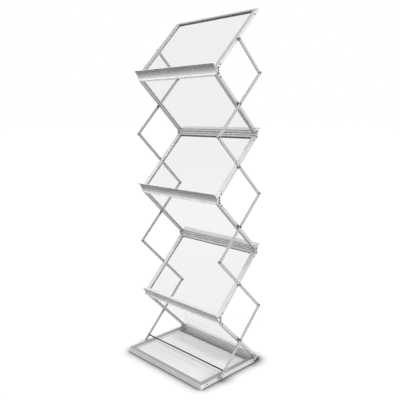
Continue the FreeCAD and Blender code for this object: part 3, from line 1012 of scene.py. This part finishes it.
@dataclass
class ScissorArms:
    """A storey's pair of flat arms, with the rivets that an outer pair carries."""

    number: int
    radius: float = 6.0
    rounding: float = 0.5
    rivet_radius: float = 2.5
    rivet_head: RoundHead = RoundHead(4.0, 1.4)
    tail_radius: float = 3.5
    tail_height: float = 0.8
    tail_chamfer: float = 0.3
    stud_root: float = 234.9
    stud_chamfer: float = 0.4
    rod_radius: float = 2.8
    rod_chamfer: float = 0.5
    rod_steps: int = 24
    rod_place: float = 28.0
    widths: Widths = WIDTHS

    @property
    def body(self) -> str:
        """The body that carries the arms."""
        return f"arms_{self.number}"

    @property
    def is_outer(self) -> bool:
        """Whether the pair runs outside its neighbours."""
        return self.number % 2 == 0

    @property
    def reach(self) -> Vector:
        """The way from the arms' middle to the lap joint of the lowest inner pair."""
        return joint_place(f"arms_{PANEL_COUNT - 1}_turn") - panel_middle(PANEL_COUNT)

    @property
    def half_length(self) -> float:
        """The distance from an arm's middle pivot to its end pivot."""
        return math.hypot(self.reach.y, self.reach.z)

    @property
    def place(self) -> Matrix:
        """The arms' own frame: Y runs up along them."""
        slope = math.degrees(math.atan2(self.reach.z, self.reach.y))
        facing = Facing.BACK if self.is_outer else Facing.FRONT
        return stand_at(panel_middle(self.number), slope, facing)

    def build(self, finishes: Finishes) -> None:
        """Makes the arms and what they carry.

        Args:
            finishes: The stand's finishes.
        """
        inner = self.widths.outer_arm if self.is_outer else self.widths.inner_arm
        middle = inner + self.widths.arm_thickness / 2
        top = 0.0 if self.number == 1 else self.half_length
        piece = Piece(f"{self.body}_bars")
        for side in SIDES:
            bar = flat_bar(
                -self.half_length, top, self.radius, self.widths.arm_thickness, self.rounding
            )
            piece.add(bar, self.place @ Matrix.Translation((side * middle, 0, 0)))
        grain = Grain.ARM_BACK if self.is_outer else Grain.ARM_FRONT
        metal = finishes.give(finishes.arm, grain)
        piece.finish(self.body, "arm_aluminium", metal, [self.body])
        if self.is_outer:
            self.build_rivets(finishes)
        if self.number == PANEL_COUNT:
            self.build_rod(finishes)

    def build_rivets(self, finishes: Finishes) -> None:
        """Makes the rivets at both ends; the lowest arms' low ends have bare studs.

        Args:
            finishes: The stand's finishes.
        """
        face = self.widths.outer_arm + self.widths.arm_thickness
        tail = self.widths.inner_arm - self.widths.running_gap - self.tail_height
        head = [(self.rivet_radius, face), *self.rivet_head.profile(face)]
        riveted = [
            (0, tail),
            (self.tail_radius - self.tail_chamfer, tail),
            (self.tail_radius, tail + self.tail_chamfer),
            (self.tail_radius, tail + self.tail_height),
            (self.rivet_radius, tail + self.tail_height),
            *head,
        ]
        stud = [
            (0, self.stud_root),
            (self.rivet_radius - self.stud_chamfer, self.stud_root),
            (self.rivet_radius, self.stud_root + self.stud_chamfer),
            *head,
        ]
        piece = Piece(f"{self.body}_end_rivets")
        low_end = stud if self.number == PANEL_COUNT else riveted
        both_sides(piece, low_end, [along_slope(self.place, -self.half_length)])
        both_sides(piece, riveted, [along_slope(self.place, self.half_length)])
        steel = finishes.give(finishes.rivet)
        piece.finish(self.body, "rivet_steel", steel, [f"{self.body}_rivets"])

    def build_rod(self, finishes: Finishes) -> None:
        """Makes the thin rod that ties the lowest arms together.

        Args:
            finishes: The stand's finishes.
        """
        end = self.widths.outer_arm + self.widths.arm_thickness
        rim = self.rod_radius - self.rod_chamfer
        half = [(self.rod_radius, end - self.rod_chamfer), (rim, end), (0, end)]
        other = [(radius, -along) for radius, along in reversed(half)]
        piece = Piece("cross_rod_turned")
        place = along_slope(self.place, self.rod_place - self.half_length)
        piece.add(turned([*other, *half], self.rod_steps), place)
        piece.finish(self.body, "rod_steel", finishes.give(finishes.rod), ["cross_rod"])


@dataclass
class Base:
    """The base: four rails, the sunk sheet, the arm catches and the side screws."""

    rounding: float = 0.5
    front_rounding: float = 0.3
    tray_rounding: float = 0.2
    catch_rounding: float = 0.4
    groove_depth: float = 1.2
    groove_band: tuple[float, float] = (4.5, 13.5)
    front_screw_place: float = 34.0
    rear_screw_place: float = 17.5
    screw_height: float = 9.0
    screw: RoundHead = RoundHead(2.8, 0.8)
    widths: Widths = WIDTHS
    body: str = "base"

    def build(self, finishes: Finishes) -> None:
        """Makes the base's pieces.

        Args:
            finishes: The stand's finishes.
        """
        # Painted light and shade on the base: the front rail is lighter than the side rails, the
        # rear rail dark throughout, and the rails' top faces and the front rail's groove floors
        # dark
        across = finishes.give(finishes.base)
        level = finishes.give(finishes.base_side, Grain.LEVEL)
        behind = finishes.give(finishes.base_rear)
        front = dress("base_front_rail", self.front_rounding, self.body, "aluminium", across)
        coat(front, finishes.give(finishes.base_top), UP)
        self.paint_groove_shade(front, finishes.give(finishes.groove))
        sides = dress("base_side_rails", self.rounding, self.body, "aluminium", level)
        coat(sides, finishes.give(finishes.base_top, Grain.LEVEL), UP)
        dress("base_rear_rail", self.rounding, self.body, "aluminium", behind)
        tray = finishes.give(finishes.tray)
        dress("base_tray", self.tray_rounding, self.body, "tray_sheet", tray)
        catch = finishes.give(finishes.catch, Grain.UPRIGHT)
        dress("arm_catches", self.catch_rounding, self.body, "catch_plate", catch)
        self.build_screws(finishes)

    def paint_groove_shade(self, rail: Object, material: Material) -> None:
        """Paints shade onto the floors of the front rail's two grooves with a near-black finish.

        Args:
            rail: The front rail.
            material: The near-black finish that paints the shade.
        """
        rail.data.materials.append(material)
        index = len(rail.data.materials) - 1
        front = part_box("base_front_rail")[0].y
        low, high = self.groove_band
        for face in rail.data.polygons:
            depth = (face.center.y - front) / MM
            is_deep = abs(depth - self.groove_depth) < self.groove_depth / 2
            if is_deep and low < face.center.z / MM < high:
                face.material_index = index

    def build_screws(self, finishes: Finishes) -> None:
        """Makes the screws in the side rails' outer faces.

        Args:
            finishes: The stand's finishes.
        """
        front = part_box("base_front_rail")[0].y / MM + self.front_screw_place
        rear = joint_place("fold").y - self.rear_screw_place
        spots = [Matrix.Translation((0, back, self.screw_height)) for back in (front, rear)]
        piece = Piece("base_side_screws")
        profile = [(0, self.widths.rail_face), *self.screw.profile(self.widths.rail_face)]
        both_sides(piece, profile, spots)
        piece.finish(self.body, "rivet_steel", finishes.give(finishes.screw))


# The studio


@dataclass
class Studio:
    """A pale floor, a white surround for the camera, soft lamps and the camera."""

    floor_radius: float = 40.0
    floor_segments: int = 64
    floor_tone: float = 0.12
    floor_bounce: tuple[float, float] = (0.45, 0.05)
    bounce_radii: tuple[float, float] = (0.4, 1.4)
    floor_glow: float = 0.9
    glow_radii: tuple[float, float] = (0.8, 3.0)
    # How far the painted contact shadow reaches, where it starts and how deep it is
    contact_reach: float = 0.055
    contact_onset: float = 0.48
    contact_depth: float = 1.8
    ambient: float = 0.045
    eye: tuple[float, float, float] = (1.5558, -1.4256, 1.0629)
    yaw: float = 46.45
    pitch: float = -9.957
    roll: float = -0.866
    lens: float = 46.13
    sensor: float = 36.0
    target: tuple[float, float, float] = (0.0, 0.0, 0.65)
    lamps: list[tuple[str, tuple[float, float, float], tuple[float, float], float]] = field(
        default_factory=lambda: [
            ("key", (-0.4, -2.6, 4.2), (1.6, 1.6), 172.0),
            ("front", (0.3, -3.6, 1.5), (1.6, 1.6), 5.0),
            ("right", (3.2, 0.75, 1.1), (2.0, 3.4), 138.0),
            ("left", (-3.0, -0.5, 1.5), (1.8, 1.8), 20.0),
            ("back", (0.2, 1.9, 2.6), (1.2, 1.2), 18.0),
        ]
    )

    def build(self) -> None:
        """Makes the floor, the surround, the lamps and the camera."""
        self.build_floor()
        self.build_surround()
        for lamp in self.lamps:
            self.build_lamp(*lamp)
        self.build_camera()
        bpy.context.scene.view_settings.view_transform = "Standard"

    def seen(self, tree: NodeTree) -> NodeSocket:
        """Adds nodes that say whether the camera sees a place directly, mirrored or through glass.

        Args:
            tree: The node tree that gets the nodes.

        Returns:
            One where it does and zero elsewhere.
        """
        path = tree.nodes.new("ShaderNodeLightPath")
        value = path.outputs["Is Camera Ray"]
        for name in ("Is Glossy Ray", "Is Transmission Ray"):
            either = tree.nodes.new("ShaderNodeMath")
            either.operation = "MAXIMUM"
            tree.links.new(value, either.inputs[0])
            tree.links.new(path.outputs[name], either.inputs[1])
            value = either.outputs[0]
        scattered = tree.nodes.new("ShaderNodeMath")
        scattered.operation = "SUBTRACT"
        scattered.use_clamp = True
        tree.links.new(value, scattered.inputs[0])
        tree.links.new(path.outputs["Diffuse Depth"], scattered.inputs[1])
        return scattered.outputs[0]

    def build_floor(self) -> None:
        """Makes the floor, which shows white to the camera, keeps the stand's cast shadow in its
        diffuse part and carries a painted contact shadow in its glow.
        """
        shape = bmesh.new()
        bmesh.ops.create_circle(
            shape, cap_ends=True, radius=self.floor_radius, segments=self.floor_segments
        )
        bmesh.ops.recalc_face_normals(shape, faces=shape.faces)
        mesh = bpy.data.meshes.new("floor")
        shape.to_mesh(mesh)
        shape.free()
        shading = Shading("studio_floor")
        seen = self.seen(shading.tree)
        length = shading.add("ShaderNodeVectorMath", operation="LENGTH")
        shading.join(shading.place, length.inputs[0])
        radius = length.outputs["Value"]
        tone = shading.add("ShaderNodeMapRange", to_max=self.floor_tone)
        shading.join(seen, tone.inputs["Value"])
        bounce = shading.remap(radius, self.bounce_radii, self.floor_bounce)
        shading.join(bounce, tone.inputs["To Min"])
        diffuse = shading.add("ShaderNodeBsdfDiffuse")
        shading.join(tone.outputs["Result"], diffuse.inputs["Color"])
        fade = shading.remap(radius, self.glow_radii, (self.floor_glow, 1.0))
        nearness = shading.add("ShaderNodeAmbientOcclusion", distance=self.contact_reach)
        contact = shading.remap(nearness.outputs["AO"], (self.contact_onset, 1.0))
        # A painted contact shadow, from an ambient occlusion node, darkens the glow on the floor
        # itself, but not through the clear sheets
        direct = shading.add("ShaderNodeLightPath").outputs["Is Camera Ray"]
        deeper = shading.add("ShaderNodeMath", operation="POWER")
        shading.join(contact, deeper.inputs[0])
        shading.join(shading.product(direct, self.contact_depth), deeper.inputs[1])
        shaded = shading.product(fade, deeper.outputs[0])
        glow = shading.add("ShaderNodeEmission")
        shading.join(shading.product(seen, shaded), glow.inputs["Strength"])
        both = shading.add("ShaderNodeAddShader")
        shading.join(diffuse.outputs[0], both.inputs[0])
        shading.join(glow.outputs[0], both.inputs[1])
        shading.join(both.outputs[0], shading.output.inputs["Surface"])
        shading.tree.nodes.remove(shading.shader)
        shading.material.cycles.emission_sampling = "NONE"
        mesh.materials.append(shading.material)
        floor = bpy.data.objects.new("floor", mesh)
        bpy.context.scene.collection.objects.link(floor)
        LOG.info("floor: %.0f m across", self.floor_radius * 2)

    def build_surround(self) -> None:
        """Makes the world: white to the camera and dim as a light."""
        world = bpy.data.worlds.new("surround")
        bpy.context.scene.world = world
        world.use_nodes = True
        tree = world.node_tree
        spread = tree.nodes.new("ShaderNodeMapRange")
        spread.inputs["To Min"].default_value = self.ambient
        spread.inputs["To Max"].default_value = 1.0
        tree.links.new(self.seen(tree), spread.inputs["Value"])
        background = tree.nodes["Background"]
        background.inputs["Color"].default_value = (1, 1, 1, 1)
        tree.links.new(spread.outputs["Result"], background.inputs["Strength"])

    def build_lamp(
        self,
        name: str,
        spot: tuple[float, float, float],
        size: tuple[float, float],
        power: float,
    ) -> None:
        """Makes a soft lamp that faces the stand.

        Args:
            name: The lamp's name.
            spot: Where it hangs, in metres.
            size: Its width and height, in metres.
            power: Its power in watts.
        """
        light = bpy.data.lights.new(name, "AREA")
        light.shape = "RECTANGLE"
        light.size, light.size_y = size
        light.energy = power
        lamp = bpy.data.objects.new(name, light)
        lamp.location = spot
        aim = Vector(self.target) - Vector(spot)
        lamp.rotation_euler = aim.to_track_quat("-Z", "Y").to_euler()
        lamp.visible_camera = False
        lamp.visible_glossy = False
        lamp.visible_transmission = False
        bpy.context.scene.collection.objects.link(lamp)
        LOG.info("%s: %.0f W", name, power)

    def build_camera(self) -> None:
        """Makes the camera at the photograph's viewing angle."""
        yaw, pitch, roll = (math.radians(angle) for angle in (self.yaw, self.pitch, self.roll))
        level = math.cos(pitch)
        ahead = Vector((-math.sin(yaw) * level, math.cos(yaw) * level, math.sin(pitch)))
        right = Vector((math.cos(yaw), math.sin(yaw), 0))
        up = right.cross(ahead)
        rolled_right = right * math.cos(roll) + up * math.sin(roll)
        rolled_up = up * math.cos(roll) - right * math.sin(roll)
        turn = Matrix((rolled_right, rolled_up, -ahead)).transposed()
        data = bpy.data.cameras.new("camera")
        data.lens = self.lens
        data.sensor_width = self.sensor
        data.clip_end = self.floor_radius * 2
        camera = bpy.data.objects.new("camera", data)
        camera.matrix_world = Matrix.Translation(self.eye) @ turn.to_4x4()
        bpy.context.scene.collection.objects.link(camera)
        bpy.context.scene.camera = camera


def stand_links() -> list[Link]:
    """Lists the rear bracket and the five links between the panels.

    Returns:
        The bracket and the links, from the lowest up.
    """
    links = [Link("rear_bracket", "panel_6", joint_place("fold"), Facing.BACK, lean=32.0)]
    for number, letter in enumerate(LETTERS):
        facing = Facing.FRONT if number % 2 == 0 else Facing.BACK
        name = f"hinge_{letter}"
        links.append(Link(name, name, joint_place(f"link_{letter}_turn"), facing))
    return links


def main() -> None:
    """Builds the stand's sub-assemblies in order, then the studio."""
    logging.basicConfig(level=logging.INFO, format="%(message)s")
    finishes = Finishes()
    Base().build(finishes)
    for link in stand_links():
        link.build(finishes)
    for number in range(1, PANEL_COUNT + 1):
        Panel(number).build(finishes)
        ScissorArms(number).build(finishes)
    Studio().build()


if __name__ == "__main__":
    main()
